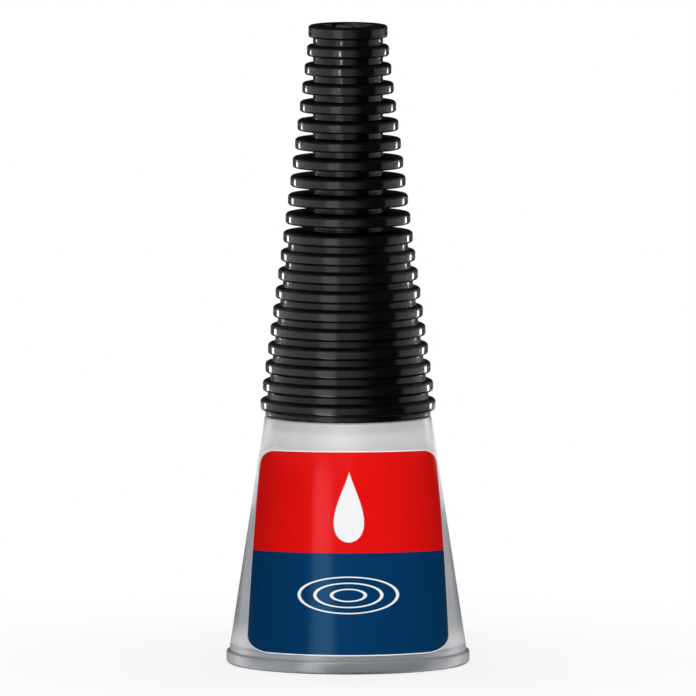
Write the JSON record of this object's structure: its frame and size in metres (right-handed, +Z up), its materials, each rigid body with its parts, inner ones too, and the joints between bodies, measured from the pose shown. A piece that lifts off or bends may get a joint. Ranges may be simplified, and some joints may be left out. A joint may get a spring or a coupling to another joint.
{
  "type": "glue bottle",
  "caption": "Translucent conical squeeze bottle of instant glue with a foot flange, wrapped labels, a slender nozzle and a long black ribbed screw cap that holds an anti-clog pin.",
  "frame": {"origin": "middle of the face that the bottle stands on, on the axis of the bottle and cap", "axes": "+Z up along the bottle's axis, -Y out of the front label, +X to the right when the front label is seen"},
  "size_m": [0.0304, 0.0304, 0.08],
  "materials": {
    "bottle_plastic": "frosted translucent polypropylene",
    "base_plastic": "frosted translucent polypropylene",
    "glue": "clear liquid",
    "nozzle_plastic": "natural polyethylene",
    "seal_elastomer": "soft moulded elastomer",
    "cap_plastic": "black moulded polypropylene, satin",
    "plug_plastic": "black moulded polypropylene",
    "pin_steel": "drawn stainless wire",
    "front_print": "gloss printed film",
    "back_print": "gloss printed film"
  },
  "bodies": {
    "bottle": {"bottle_shell": "bottle_plastic", "base_disc": "base_plastic", "glue_fill": "glue", "nozzle": "nozzle_plastic", "front_label": "front_print", "back_label": "back_print"},
    "seal": {"seal_ring": "seal_elastomer"},
    "cap": {"cap_shell": "cap_plastic", "pin_plug": "plug_plastic", "anti_clog_pin": "pin_steel"}
  },
  "joints": [
    {"name": "cap_lift", "type": "slide", "parent": "bottle", "child": "seal", "axis": [0, 0, 1], "range_m": [0, 0.0481]},
    {"name": "cap_twist", "type": "hinge", "parent": "seal", "child": "cap", "pos_m": [0, 0, 0.04], "axis": [0, 0, 1], "range_deg": [0, 2880]}
  ],
  "couplings": [
    {"joint": "cap_lift", "follows": "cap_twist", "m_per_rad": 0.00095493}
  ]
}
